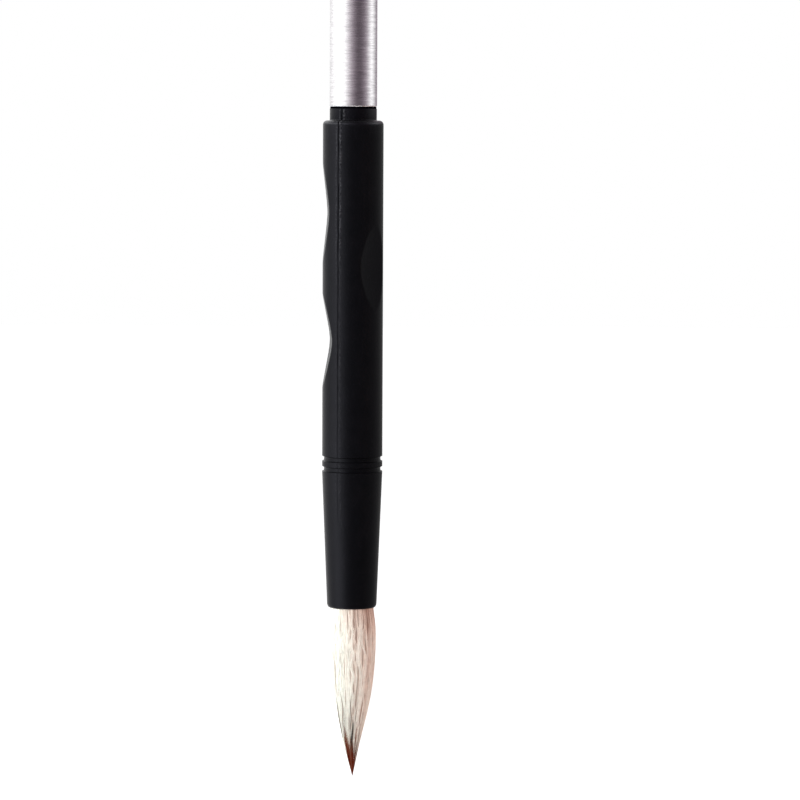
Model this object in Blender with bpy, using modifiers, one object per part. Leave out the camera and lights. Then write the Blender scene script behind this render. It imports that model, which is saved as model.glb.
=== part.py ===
"""Calligraphy brush, held upright with its tip down.

A hollow moulded grip carries everything. Its lower end is a socket for the hair tuft,
and its upper end is a ribbed spigot that the aluminium handle tube is pushed over.

Metres, +Z towards the tail. The origin is on the brush's axis at the height of the thumb.
Azimuths are counted from +X; the writer sees the brush from -Y.
"""

import bmesh
import bpy
from math import atan, cos, pi, radians, sin, sqrt
from mathutils import Matrix, Vector
from mathutils.geometry import interpolate_bezier

# ---- Driving sizes -------------------------------------------------------------------

# clearances
SEAT_GAP = 0.0003  # between pieces that rest on each other
BORE_CLEARANCE = 0.00012  # between the tube's bore and what is pushed into it

# grip: the black moulding
GRIP_RADIUS = 0.0078
GRIP_LENGTH = 0.12585  # shoulder to mouth
THUMB_BELOW_SHOULDER = 0.0376
SHOULDER_ROUND = 0.00115
TAPER_LENGTH = 0.03525
MOUTH_RADIUS = 0.00645
LIP_WALL = 0.0006
LIP_ROUND = 0.0003
NECK_STEP = 0.00005  # the neck is this much slimmer than the tube above it
NECK_LENGTH = 0.0030

# two ring grooves, just above the taper
GROOVE_COUNT = 2
GROOVE_WIDTH = 0.0013
GROOVE_DEPTH = 0.0005
GROOVE_PITCH = 0.00265
GROOVE_ABOVE_TAPER = 0.0002

# inside of the grip
SOCKET_DEPTH = 0.018
SOCKET_DRAFT = 0.0003  # radius lost from the mouth to the ledge
CORE_HOLE_RADIUS = 0.0030
CORE_HOLE_DEPTH = 0.0095
WEB = 0.0030  # floor between the hole from below and the bore from above
BORE_DRAFT = 0.0002

# spigot and its crush ribs
SPIGOT_LENGTH = 0.0160
SPIGOT_WALL = 0.0015
SPIGOT_LEAD = 0.0006
RIB_COUNT = 6
RIB_HEIGHT = 0.00035
RIB_WIDTH = 0.0009
RIB_BELOW_TOP = 0.0022
RIB_LEAD = 0.0008

# finger recesses: azimuth, depth below the shoulder, how deep, and the radius along the grip
FINGERS = {
    "index": (184.0, 0.0237, 0.00170, 0.0460),
    "middle": (184.0, 0.0566, 0.00260, 0.0280),
    "thumb": (318.0, THUMB_BELOW_SHOULDER, 0.00160, 0.0360),
}
FINGER_HOLLOW = 0.030  # radius across the grip, a little flatter than a fingertip

# handle tube
TUBE_RADIUS = 0.0061
TUBE_WALL = 0.0008
TUBE_LENGTH = 0.0950
TUBE_CHAMFER = 0.0002

# tail plug
PLUG_HEAD = 0.0030
PLUG_INSERT = 0.0090
PLUG_CHAMFER = 0.0005
CORD_HOLE_RADIUS = 0.0012

# hair tuft, in three layers
HAIR_LENGTH = 0.04455  # mouth to tip
HAIR_SWELL = 0.00035  # how much fuller the tuft is at its belly than in the mouth
HAIR_BELLY_DEPTH = 0.0085  # below the mouth, where the tuft is fullest
HAIR_BELLY_REACH = 0.0130  # how far the full part carries on before the point
HAIR_POINT_SLOPE = 0.240  # radius gained for each length, just above the tip
HAIR_POINT_REACH = 0.0130
MANTLE_WALL = 0.00095
POINT_SHOWS = 0.0102  # length of point hairs that shows below the outer hairs
MANTLE_THINS = 0.0120  # mouth to where its inside starts to close on the point hairs
POINT_HAIR_RADIUS = 0.0024
HAIR_EDGE = 0.00018  # thickness left where a layer of hair ends

# thread round the roots, and the resin above them
ROOT_SQUEEZE = 0.8  # how far the thread draws the roots in
ROOT_SPREAD = 0.0018  # below the thread, where the hairs spread again
THREAD_RADIUS = 0.00024
THREAD_PITCH = 0.0006
THREAD_TURNS = 4
RESIN_THICKNESS = 0.0024

# facets round each turned piece
GRIP_STEPS = 72
TUBE_STEPS = 64
HAIR_STEPS = 40
FINGER_STEPS = 144
ARC_STEPS = 4
THREAD_STEPS = 18

# ---- Heights worked out from them ----------------------------------------------------

SHOULDER_Z = THUMB_BELOW_SHOULDER
MOUTH_Z = SHOULDER_Z - GRIP_LENGTH
TAPER_Z = MOUTH_Z + TAPER_LENGTH
NECK_TOP_Z = SHOULDER_Z + NECK_LENGTH
SPIGOT_TOP_Z = NECK_TOP_Z + SPIGOT_LENGTH
LEDGE_Z = MOUTH_Z + SOCKET_DEPTH
RESIN_Z = LEDGE_Z - SEAT_GAP
ROOT_Z = RESIN_Z - RESIN_THICKNESS - SEAT_GAP
MANTLE_END_Z = MOUTH_Z - HAIR_LENGTH + POINT_SHOWS
CORE_HOLE_Z = LEDGE_Z + CORE_HOLE_DEPTH
BORE_FLOOR_Z = CORE_HOLE_Z + WEB
TUBE_BOTTOM_Z = NECK_TOP_Z + SEAT_GAP

SOCKET_MOUTH_RADIUS = MOUTH_RADIUS - LIP_WALL
SOCKET_LEDGE_RADIUS = SOCKET_MOUTH_RADIUS - SOCKET_DRAFT
HAIR_MOUTH_RADIUS = SOCKET_MOUTH_RADIUS - SEAT_GAP
NECK_RADIUS = TUBE_RADIUS - NECK_STEP
TUBE_BORE_RADIUS = TUBE_RADIUS - TUBE_WALL
RIB_TIP_RADIUS = TUBE_BORE_RADIUS - BORE_CLEARANCE
SPIGOT_RADIUS = RIB_TIP_RADIUS - RIB_HEIGHT
BORE_RADIUS = SPIGOT_RADIUS - SPIGOT_WALL


# ---- Helpers -------------------------------------------------------------------------


def clear_scene():
    for obj in list(bpy.data.objects):
        bpy.data.objects.remove(obj, do_unlink=True)


def new_collection(name):
    collection = bpy.data.collections.new(name)
    bpy.context.scene.collection.children.link(collection)
    return collection


def finish(name, colour, roughness, metallic=0.0):
    """A plain Principled material."""
    material = bpy.data.materials.new(name)
    material.use_nodes = True
    shader = material.node_tree.nodes["Principled BSDF"]
    shader.inputs["Base Color"].default_value = (*colour, 1.0)
    shader.inputs["Roughness"].default_value = roughness
    shader.inputs["Metallic"].default_value = metallic
    material.diffuse_color = (*colour, 1.0)
    return material


def arc(centre, radius, start, end, steps=ARC_STEPS):
    """Points of an arc in the profile plane, angles in degrees from +X towards +Z."""
    angles = [radians(start + (end - start) * i / steps) for i in range(steps + 1)]
    return [(centre[0] + radius * cos(a), centre[1] + radius * sin(a)) for a in angles]


def shade(mesh, angle=35.0):
    mesh.shade_smooth()
    mesh.set_sharp_from_angle(angle=radians(angle))


def link(obj, collection, material=None, z=0.0, parent=None):
    collection.objects.link(obj)
    obj.location.z = z
    if parent is not None:
        obj.parent = parent
    if material is not None:
        obj.data.materials.append(material)
    return obj


def turned(name, profile, steps, closed):
    """Turn a profile of (radius, height) round Z. It runs down its outer side, top to bottom.

    A closed profile makes a ring. An open one starts and ends on the axis.
    """
    mesh = bpy.data.meshes.new(name)
    points = [(radius, 0.0, height) for radius, height in profile]
    edges = [(i, i + 1) for i in range(len(points) - 1)]
    if closed:
        edges.append((len(points) - 1, 0))
    mesh.from_pydata(points, edges, [])
    obj = bpy.data.objects.new(name, mesh)
    screw = obj.modifiers.new("turn", "SCREW")
    screw.axis = "Z"
    screw.angle = 2 * pi
    screw.steps = steps
    screw.render_steps = steps
    screw.use_merge_vertices = True
    screw.merge_threshold = 0.00001
    screw.use_smooth_shade = True
    return obj


def bake(obj):
    """Apply the modifiers, so that a Boolean or the shading works on the real mesh."""
    graph = bpy.context.evaluated_depsgraph_get()
    mesh = bpy.data.meshes.new_from_object(obj.evaluated_get(graph))
    obj.modifiers.clear()
    obj.data = mesh
    return obj


def cut(obj, cutter, operation="DIFFERENCE"):
    cutter.hide_render = True
    cutter.display_type = "WIRE"
    step = obj.modifiers.new(cutter.name, "BOOLEAN")
    step.operation = operation
    step.solver = "EXACT"
    step.object = cutter


def radius_at(outline, height):
    """The radius of a falling outline at a height, between its points."""
    for (r0, z0), (r1, z1) in zip(outline, outline[1:]):
        if z0 >= height >= z1:
            return r0 + (r1 - r0) * (z0 - height) / max(z0 - z1, 1e-9)
    return outline[-1][0]


# ---- Grip ----------------------------------------------------------------------------


def groove(top_z):
    """A round-bottomed ring groove in the grip's side, from its upper edge down."""
    half = GROOVE_WIDTH / 2
    radius = (half**2 + GROOVE_DEPTH**2) / (2 * GROOVE_DEPTH)
    spread = radians(90) - atan((radius - GROOVE_DEPTH) / half)
    centre = (GRIP_RADIUS - GROOVE_DEPTH + radius, top_z - half)
    turn = spread * 180 / pi
    return arc(centre, radius, 180 - turn, 180 + turn)


def grip_profile():
    first_groove = (
        TAPER_Z + GROOVE_ABOVE_TAPER + GROOVE_WIDTH + (GROOVE_COUNT - 1) * GROOVE_PITCH
    )
    shoulder = (GRIP_RADIUS - SHOULDER_ROUND, SHOULDER_Z - SHOULDER_ROUND)
    lip = (MOUTH_RADIUS - LIP_ROUND, MOUTH_Z + LIP_ROUND)
    points = [
        (0.0, BORE_FLOOR_Z),
        (BORE_RADIUS - BORE_DRAFT, BORE_FLOOR_Z),
        (BORE_RADIUS, SPIGOT_TOP_Z),
        (SPIGOT_RADIUS - SPIGOT_LEAD, SPIGOT_TOP_Z),
        (SPIGOT_RADIUS, SPIGOT_TOP_Z - SPIGOT_LEAD),
        (SPIGOT_RADIUS, NECK_TOP_Z),
        (NECK_RADIUS, NECK_TOP_Z),
        (NECK_RADIUS, SHOULDER_Z),
    ]
    points += arc(shoulder, SHOULDER_ROUND, 90, 0)
    for i in range(GROOVE_COUNT):
        points += groove(first_groove - i * GROOVE_PITCH)
    points.append((GRIP_RADIUS, TAPER_Z))
    points += arc(lip, LIP_ROUND, 0, -90, 3)
    points += [
        (SOCKET_MOUTH_RADIUS, MOUTH_Z),
        (SOCKET_LEDGE_RADIUS, LEDGE_Z),
        (CORE_HOLE_RADIUS, LEDGE_Z),
        (CORE_HOLE_RADIUS, CORE_HOLE_Z),
        (0.0, CORE_HOLE_Z),
    ]
    return points


def finger_cutter(name, azimuth, below_shoulder, depth, along, collection):
    """A barrel that lies across the grip and sinks into its side."""
    half = GRIP_RADIUS + FINGER_HOLLOW / 10
    spread = radians(90) - atan(sqrt(FINGER_HOLLOW**2 - half**2) / half)
    turn = spread * 180 / pi
    rim = arc((along - FINGER_HOLLOW, 0.0), FINGER_HOLLOW, turn, -turn, 12)
    profile = [(0.0, rim[0][1]), *rim, (0.0, rim[-1][1])]
    barrel = turned(f"{name}_finger_cutter", profile, FINGER_STEPS, closed=False)
    away = GRIP_RADIUS - depth + along
    lie_down = Matrix.Rotation(radians(90), 4, "X")
    swing = Matrix.Rotation(radians(azimuth), 4, "Z")
    place = swing @ Matrix.Translation((away, 0.0, SHOULDER_Z - below_shoulder))
    collection.objects.link(barrel)
    barrel.matrix_world = place @ lie_down
    return barrel


def crush_ribs(collection):
    """The ribs that stand on the spigot, as one cutter to be joined to it."""
    bm = bmesh.new()
    top = SPIGOT_TOP_Z - RIB_BELOW_TOP
    sunk = RIB_HEIGHT
    for i in range(RIB_COUNT):
        made = bmesh.ops.create_cube(bm, size=1.0)["verts"]
        length = top - NECK_TOP_Z + sunk
        size = Matrix.Diagonal((RIB_HEIGHT + sunk, RIB_WIDTH, length, 1.0))
        middle = (SPIGOT_RADIUS - sunk + RIB_TIP_RADIUS) / 2
        place = Matrix.Translation((middle, 0.0, top - length / 2))
        swing = Matrix.Rotation(2 * pi * i / RIB_COUNT, 4, "Z")
        bmesh.ops.transform(bm, matrix=place @ size, verts=made)
        for vert in made:
            if vert.co.z > top - length / 2 and vert.co.x > SPIGOT_RADIUS:
                vert.co.z -= RIB_LEAD
        bmesh.ops.transform(bm, matrix=swing, verts=made)
    mesh = bpy.data.meshes.new("crush_ribs")
    bm.to_mesh(mesh)
    bm.free()
    ribs = bpy.data.objects.new("crush_ribs", mesh)
    collection.objects.link(ribs)
    return ribs


def make_grip(parts, cutters):
    black = finish("black_moulding", (0.012, 0.012, 0.013), 0.5)
    grip = turned("grip_body", grip_profile(), GRIP_STEPS, closed=False)
    link(grip, parts, black)
    bake(grip)
    cut(grip, crush_ribs(cutters), "UNION")
    for name, (azimuth, below, depth, along) in FINGERS.items():
        cut(grip, finger_cutter(name, azimuth, below, depth, along, cutters))
    bpy.context.view_layer.update()
    bake(grip)
    shade(grip.data, 24.0)
    return grip


# ---- Handle --------------------------------------------------------------------------


def make_handle(parts):
    silver = finish("satin_aluminium", (0.62, 0.60, 0.63), 0.32, 1.0)
    black = finish("black_plug", (0.014, 0.014, 0.015), 0.45)
    joint = bpy.data.objects.new("handle_joint", None)
    joint.location.z = TUBE_BOTTOM_Z
    parts.objects.link(joint)

    inner, outer, chamfer = TUBE_BORE_RADIUS, TUBE_RADIUS, TUBE_CHAMFER
    tube_outline = [
        (inner, TUBE_LENGTH),
        (outer - chamfer, TUBE_LENGTH),
        (outer, TUBE_LENGTH - chamfer),
        (outer, chamfer),
        (outer - chamfer, 0.0),
        (inner, 0.0),
    ]
    tube = turned("handle_tube", tube_outline, TUBE_STEPS, closed=True)
    link(tube, parts, silver, parent=joint)

    head_bottom = TUBE_LENGTH + SEAT_GAP
    head_top = head_bottom + PLUG_HEAD
    insert = RIB_TIP_RADIUS
    foot = TUBE_LENGTH - PLUG_INSERT
    plug_outline = [
        (CORD_HOLE_RADIUS, head_top),
        (outer - PLUG_CHAMFER, head_top),
        (outer, head_top - PLUG_CHAMFER),
        (outer, head_bottom),
        (insert, head_bottom),
        (insert, foot + PLUG_CHAMFER),
        (insert - PLUG_CHAMFER, foot),
        (CORD_HOLE_RADIUS, foot),
    ]
    plug = turned("tail_plug", plug_outline, TUBE_STEPS, closed=True)
    link(plug, parts, black, parent=joint)
    for piece in (tube, plug):
        bpy.context.view_layer.update()
        bake(piece)
        shade(piece.data)
    return tube, plug


# ---- Hair tuft -----------------------------------------------------------------------


def tuft_outline():
    """The outside of the tuft from the mouth to the tip, as (radius, height)."""
    mouth = Vector((HAIR_MOUTH_RADIUS, MOUTH_Z))
    belly = Vector((HAIR_MOUTH_RADIUS + HAIR_SWELL, MOUTH_Z - HAIR_BELLY_DEPTH))
    tip = Vector((0.0, MOUTH_Z - HAIR_LENGTH))
    down = Vector((0.0, -1.0))
    above_tip = Vector((HAIR_POINT_SLOPE, 1.0)) * HAIR_POINT_REACH
    swell = (belly - mouth) / 3
    upper = interpolate_bezier(
        mouth, mouth + swell, belly - down * HAIR_BELLY_DEPTH / 3, belly, 5
    )
    lower = interpolate_bezier(
        belly, belly + down * HAIR_BELLY_REACH, tip + above_tip, tip, 13
    )
    return [(p[0], p[1]) for p in (*upper, *lower[1:])]


def rooted(radius_in_mouth):
    """A layer's radius under the thread and at the mouth, from its end up in the socket."""
    thread_foot = ROOT_Z - THREAD_TURNS * THREAD_PITCH - 4 * THREAD_RADIUS
    drawn_in = radius_in_mouth * ROOT_SQUEEZE
    free = thread_foot - ROOT_SPREAD
    return [(drawn_in, ROOT_Z), (drawn_in, thread_foot), (radius_in_mouth, free)]


def layer_line(outline):
    """The inside of the mantle, from its root down to its end."""
    inside = HAIR_MOUTH_RADIUS - MANTLE_WALL
    end = (radius_at(outline, MANTLE_END_Z) - HAIR_EDGE, MANTLE_END_Z)
    return [*rooted(inside), (inside, MOUTH_Z - MANTLE_THINS), end]


def inset(line, gap):
    return [(radius - gap, height) for radius, height in line]


def make_tuft(parts):
    white = finish("white_hair", (0.80, 0.74, 0.66), 0.6)
    cream = finish("cream_hair", (0.72, 0.64, 0.52), 0.65)
    brown = finish("brown_hair", (0.16, 0.06, 0.035), 0.55)
    outline = tuft_outline()
    inside = layer_line(outline)

    outside = [*rooted(HAIR_MOUTH_RADIUS), *(p for p in outline if p[1] > MANTLE_END_Z)]
    outside.append((radius_at(outline, MANTLE_END_Z), MANTLE_END_Z))
    mantle = turned("hair_mantle", [*outside, *reversed(inside)], HAIR_STEPS, closed=True)
    link(mantle, parts, white)

    # the filling hairs lie between the point hairs and the mantle, and end where those meet
    core = rooted(POINT_HAIR_RADIUS)
    core_face = [(radius + SEAT_GAP, height) for radius, height in core]
    belly_face = inset(inside, SEAT_GAP)
    (top_r, top_z), (low_r, low_z) = belly_face[-2:]
    slope = (top_r - low_r) / (top_z - low_z)
    belly_end_z = top_z - (top_r - core_face[-1][0] - HAIR_EDGE) / slope
    belly_outline = [
        *belly_face[:-1],
        (core_face[-1][0] + HAIR_EDGE, belly_end_z),
        (core_face[-1][0], belly_end_z),
        *reversed(core_face),
    ]
    belly = turned("hair_belly", belly_outline, HAIR_STEPS, closed=True)
    link(belly, parts, cream)

    # the point hairs follow the mantle's inside, and past its end they are the tuft's outside
    meet_z = top_z - (top_r - POINT_HAIR_RADIUS) / slope
    below = [p for p in outline if p[1] < MANTLE_END_Z - SEAT_GAP]
    point_outline = [
        (0.0, core[0][1]),
        *core,
        (POINT_HAIR_RADIUS, meet_z),
        (low_r, low_z),
        *below,
    ]
    point = turned("hair_point", point_outline, HAIR_STEPS, closed=False)
    link(point, parts, brown)
    for piece in (mantle, belly, point):
        bpy.context.view_layer.update()
        bake(piece)
        shade(piece.data)
    return mantle, belly, point


def make_root(parts):
    """The thread round the hair roots, and the resin that seals them against the ledge."""
    thread = finish("binding_thread", (0.75, 0.72, 0.66), 0.8)
    resin = finish("amber_resin", (0.35, 0.20, 0.07), 0.3)
    coil_radius = HAIR_MOUTH_RADIUS * ROOT_SQUEEZE + SEAT_GAP + THREAD_RADIUS
    top = ROOT_Z - 2 * THREAD_RADIUS

    curve = bpy.data.curves.new("root_binding", "CURVE")
    curve.dimensions = "3D"
    curve.bevel_depth = THREAD_RADIUS
    curve.bevel_resolution = 2
    curve.use_fill_caps = True
    count = THREAD_TURNS * THREAD_STEPS
    spline = curve.splines.new("POLY")
    spline.points.add(count)
    for i, point in enumerate(spline.points):
        turn = 2 * pi * i / THREAD_STEPS
        drop = THREAD_PITCH * i / THREAD_STEPS
        x, y = coil_radius * cos(turn), coil_radius * sin(turn)
        point.co = (x, y, top - drop, 1.0)
    coil = bpy.data.objects.new("root_binding", curve)
    link(coil, parts, thread)

    plug_radius = SOCKET_LEDGE_RADIUS - SEAT_GAP
    outline = [
        (0.0, RESIN_Z),
        (plug_radius, RESIN_Z),
        (plug_radius, RESIN_Z - RESIN_THICKNESS),
        (0.0, RESIN_Z - RESIN_THICKNESS),
    ]
    plug = turned("root_plug", outline, HAIR_STEPS, closed=False)
    link(plug, parts, resin)
    bpy.context.view_layer.update()
    bake(plug)
    shade(plug.data)
    return coil, plug


# ---- Build ---------------------------------------------------------------------------

clear_scene()
brush_parts = new_collection("calligraphy_brush")
brush_cutters = new_collection("cutters")
make_grip(brush_parts, brush_cutters)
make_handle(brush_parts)
make_tuft(brush_parts)
make_root(brush_parts)
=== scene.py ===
# %% [markdown]
# # A calligraphy brush, from its frame to its hair
#
# The brush has four surfaces to get right: a satin metal tube, a matt black moulding that
# the fingers sink into, white outer hair, and a brown point. Their sizes and their joint
# were settled beforehand as a plain model, the frame. This lesson loads that frame and
# gives each surface the finish and the fine shape of the real thing.
#
# The brush stands upright in mid-air, as a writer holds it: +Z runs to the tail, the
# writer's thumb comes from -Y, and all lengths are metres.

import bpy
import numpy as np
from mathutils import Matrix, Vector


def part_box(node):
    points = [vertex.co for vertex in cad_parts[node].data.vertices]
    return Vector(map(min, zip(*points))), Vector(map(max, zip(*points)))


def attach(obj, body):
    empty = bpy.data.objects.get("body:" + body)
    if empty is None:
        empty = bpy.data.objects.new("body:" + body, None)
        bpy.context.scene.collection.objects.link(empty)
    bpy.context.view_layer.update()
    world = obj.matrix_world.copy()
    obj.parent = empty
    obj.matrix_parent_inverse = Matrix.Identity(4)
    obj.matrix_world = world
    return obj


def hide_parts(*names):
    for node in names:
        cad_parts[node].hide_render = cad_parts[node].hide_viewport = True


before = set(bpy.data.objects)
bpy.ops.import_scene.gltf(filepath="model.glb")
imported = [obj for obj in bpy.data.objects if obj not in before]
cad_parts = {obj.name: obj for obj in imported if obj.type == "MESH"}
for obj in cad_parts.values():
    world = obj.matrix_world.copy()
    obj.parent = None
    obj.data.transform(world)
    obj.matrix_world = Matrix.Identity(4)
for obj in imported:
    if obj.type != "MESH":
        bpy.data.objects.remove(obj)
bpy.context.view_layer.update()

# %% [markdown]
# ## Heights to build between
#
# Every piece is placed from the frame's own boxes, so that nothing has to be fitted by eye.
# A box is its lower and its upper corner. The grip's gives the mouth and the full radius,
# the tube's gives the rim, and the hair's give the tip and the end of the white hair.

# %% Heights and radii from the frame
MM = 0.001
(_, _, mouth_z), (grip_radius, _, spigot_top_z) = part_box("grip_body")
(_, _, rim_z), (tube_radius, _, tube_top_z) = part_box("handle_tube")
(_, _, plug_foot_z), (_, _, tail_z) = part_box("tail_plug")
(_, _, white_end_z), (_, _, root_z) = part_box("hair_mantle")
tip_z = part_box("hair_point")[0].z
tuft_length = mouth_z - tip_z
print(f"mouth {mouth_z:.4f}, rim {rim_z:.4f}, tip {tip_z:.4f}, hair {tuft_length / MM:.1f} mm")

# %% [markdown]
# ## Helpers for meshes
#
# Nearly every piece here goes round Z. Blender's Screw modifier can sweep a profile round,
# but only in plain circles. So points are worked out as arrays, in rows and columns, and
# `grid_faces` ties them together with quads, which is quick even for a million points.

# %% Mesh helpers


def link(obj):
    bpy.context.scene.collection.objects.link(obj)
    return obj


def add_mesh(name, points, faces):
    mesh = bpy.data.meshes.new(name)
    mesh.from_pydata(points.reshape(-1, 3).tolist(), [], faces)
    mesh.update()
    return link(bpy.data.objects.new(name, mesh))


def around(radius, turn, z):
    """Points at an angle round Z, as one array whose last axis is x, y and z."""
    flat = radius * np.cos(turn), radius * np.sin(turn), z + 0 * turn
    return np.stack(np.broadcast_arrays(*flat), axis=-1)


def grid_faces(rows, columns, closed=False):
    """Quads between rows of points. Each row is a ring, and closed also joins last to first."""
    row = np.arange(rows if closed else rows - 1)[:, None]
    col = np.arange(columns)[None, :]
    a, b = row * columns + col, row * columns + (col + 1) % columns
    quads = np.stack([a, a + columns, b + columns, b], axis=-1) % (rows * columns)
    return quads.reshape(-1, 4)


def lathe(name, profile, steps):
    """Turn a closed profile of (radius, height), which runs down on its outer side."""
    radius, z = np.array(profile).T[:, :, None]
    turn = np.linspace(0, 2 * np.pi, steps, endpoint=False)
    return add_mesh(name, around(radius, turn, z), grid_faces(len(profile), steps, True).tolist())


# %% [markdown]
# The next few are small: a smooth surface that keeps its sharp edges, an arc for rounding a
# profile's corner, a number kept on each vertex for a finish to read, and a line of report.

# %% Small helpers


def smooth(obj, angle=40.0):
    obj.data.shade_smooth()
    obj.data.set_sharp_from_angle(angle=np.radians(angle))
    return obj


def arc(centre, radius, start, end, steps):
    """Points of an arc, angles in degrees from +X towards +Z."""
    turn = np.radians(np.linspace(start, end, steps + 1))
    return list(zip(centre[0] + radius * np.cos(turn), centre[1] + radius * np.sin(turn)))


def store(obj, name, values, kind="FLOAT"):
    field = "value" if kind == "FLOAT" else "vector"
    layer = obj.data.attributes.new(name, kind, "POINT")
    layer.data.foreach_set(field, values.reshape(-1).astype(np.float32))


def report(obj):
    print(f"{obj.name}: {len(obj.data.polygons)} faces")
    return obj


# %% [markdown]
# ## Helpers for materials
#
# Nodes can be joined by hand in the Shader Editor. In a script, most of the work is naming
# sockets, so `Nodes` takes that over: one call adds a node, and feeds each of its inputs with
# either a plain value or another node's output.

# %% Node helpers


class Nodes:
    """A node tree that grows by one node a call."""

    def __init__(self, tree):
        self.tree = tree

    def feed(self, value, target):
        if isinstance(value, bpy.types.NodeSocket):
            self.tree.links.new(value, target)
        else:
            target.default_value = value

    def add(self, kind, output, inputs=(), **settings):
        """Add a node and hand back one of its outputs. Inputs are (socket, value) pairs."""
        made = self.tree.nodes.new(kind)
        for key, value in settings.items():
            setattr(made, key, value)
        for socket, value in inputs:
            self.feed(value, made.inputs[socket])
        return made.outputs[output]

    def maths(self, operation, first, second):
        return self.add("ShaderNodeMath", 0, ((0, first), (1, second)), operation=operation)

    def mix(self, factor, first, second, blend="MIX"):
        inputs = (0, factor), (6, first), (7, second)
        return self.add("ShaderNodeMix", 2, inputs, data_type="RGBA", blend_type=blend)

    def spread(self, source, low, high, start=0.0, end=1.0):
        """A value from start to end, as one from low to high."""
        inputs = (("Value", source), ("From Min", start), ("From Max", end),
                  ("To Min", low), ("To Max", high))
        return self.add("ShaderNodeMapRange", "Result", inputs)

    def ramp(self, source, *stops):
        """A colour ramp. Each stop is a place from 0 to 1 and a colour or a grey."""
        made = self.tree.nodes.new("ShaderNodeValToRGB")
        elements = made.color_ramp.elements
        while len(elements) < len(stops):
            elements.new(0.5)
        for element, (place, colour) in zip(elements, stops):
            element.position = place
            element.color = (*(colour if isinstance(colour, tuple) else [colour] * 3), 1.0)
        self.feed(source, made.inputs["Fac"])
        return made.outputs["Color"]

    def seen_directly(self):
        """1 for rays from the camera, from shiny surfaces and through clear ones."""
        seen = self.add("ShaderNodeLightPath", "Is Camera Ray").node.outputs
        shiny = self.maths("MAXIMUM", seen["Is Camera Ray"], seen["Is Glossy Ray"])
        return self.maths("MAXIMUM", shiny, seen["Is Transmission Ray"])


# %% [markdown]
# Each finish is a Principled shader with a few texture nodes in front of it. The textures are read
# in object coordinates, in metres, so a grain of a tenth of a millimetre is simply a noise of scale
# 10000. No image texture is used: colour, roughness and bump all come from nodes, though some
# colours carry painted shade or light, as noted where they are made.

# %% Finish helpers


class Finish(Nodes):
    """A material with a Principled shader."""

    def __init__(self, name, colour, roughness, metallic=0.0):
        self.material = bpy.data.materials.new(name)
        self.material.use_nodes = True
        super().__init__(self.material.node_tree)
        self.shader = self.tree.nodes["Principled BSDF"]
        self.surface = self.tree.nodes["Material Output"].inputs["Surface"]
        self.to("Base Color", (*colour, 1.0))
        self.to("Roughness", roughness)
        self.to("Metallic", metallic)
        self.where = self.add("ShaderNodeTexCoord", "Object")

    def to(self, socket, value):
        """Feed one of the shader's own sockets."""
        self.feed(value, self.shader.inputs[socket])

    def stretch(self, scale, source=None):
        """The coordinates, scaled by a different amount along each axis."""
        inputs = ("Scale", scale), ("Vector", source or self.where)
        return self.add("ShaderNodeMapping", "Vector", inputs)

    def noise(self, scale, detail=2.0, source=None, roughness=0.5):
        inputs = (("Scale", scale), ("Detail", detail), ("Roughness", roughness),
                  ("Vector", source or self.where))
        return self.add("ShaderNodeTexNoise", "Fac", inputs)

    def attribute(self, name, output="Fac"):
        return self.add("ShaderNodeAttribute", output, attribute_name=name)

    def bump(self, height, distance, strength, under=None):
        """A bump from a height, over an earlier bump if one is given."""
        inputs = [("Strength", strength), ("Distance", distance), ("Height", height)]
        if under is not None:
            inputs.append(("Normal", under))
        return self.add("ShaderNodeBump", "Normal", inputs)


# %% [markdown]
# ## Camera
#
# The eye is level with the brush's neck, so the neck's edges look flat and the mouth's rim
# curves down. A long lens from under a metre away gives the calm perspective that the eye
# has at a desk. The camera is turned a quarter of a degree, because the hand holds the
# brush with that lean.

# %% Camera
LENS = 165.0
DISTANCE = 0.9446
EYE_Z = 0.0403
LOOK_Z = -0.0344
ASIDE = 0.0123
LEAN = np.radians(0.245)

camera_data = bpy.data.cameras.new("camera")
camera_data.lens = LENS
camera_data.clip_start = 0.05
camera = link(bpy.data.objects.new("camera", camera_data))
camera.location = (ASIDE, -DISTANCE, EYE_Z)
aim = Vector((ASIDE, 0.0, LOOK_Z)) - camera.location
camera.rotation_mode = "QUATERNION"
look = aim.to_track_quat("-Z", "Y")
lean = Vector((0.0, 1.0, 0.0)).rotation_difference(Vector((-np.sin(LEAN), np.cos(LEAN), 0.0)))
camera.rotation_quaternion = look @ lean
bpy.context.scene.camera = camera
print("camera at", [round(v, 3) for v in camera.location])

# %% [markdown]
# ## The grip's outside, as a rule
#
# The grip is one moulding: neck, shoulder, a straight sleeve, two ring grooves and a taper.
# Three fingers sink into it. Cutting such recesses with Booleans leaves hard edges, while a
# mould has soft ones. So the outside is written as a rule that gives the radius for every
# angle and height. Each recess is a valley that lies across the grip: two straight slopes
# that meet in a round floor, slightly hollow from side to side. A soft minimum rolls its
# edge over.

# %% Finger recesses
GAP = 0.0003  # the frame's gap between pieces that seat on each other
NECK_LENGTH = 0.0030
SHOULDER_Z = rim_z - GAP - NECK_LENGTH
EDGE_ROLL = 0.00013  # how softly a recess's edge rolls over
FINGER_HOLLOW = 0.030  # radius of a recess from side to side
FINGER_SPAN = np.radians(75)  # a recess stays this close to its azimuth
NO_RECESS = 2 * grip_radius
ROUNDS = 12  # the hollow depends on the reach, so a few rounds settle both
# azimuth in degrees, distance below the shoulder, depth, half length, roundness of the floor
FINGERS = (
    (184.0, 0.0237, 0.0017, 0.0125, 0.00045),
    (184.0, 0.0566, 0.0026, 0.0120, 0.00070),
    (318.0, 0.0376, 0.0016, 0.0108, 0.00090),
)


def off_angle(turn, azimuth):
    """How far an angle is from an azimuth in degrees, from -pi to pi."""
    return (turn - np.radians(azimuth) + np.pi) % (2 * np.pi) - np.pi


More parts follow.
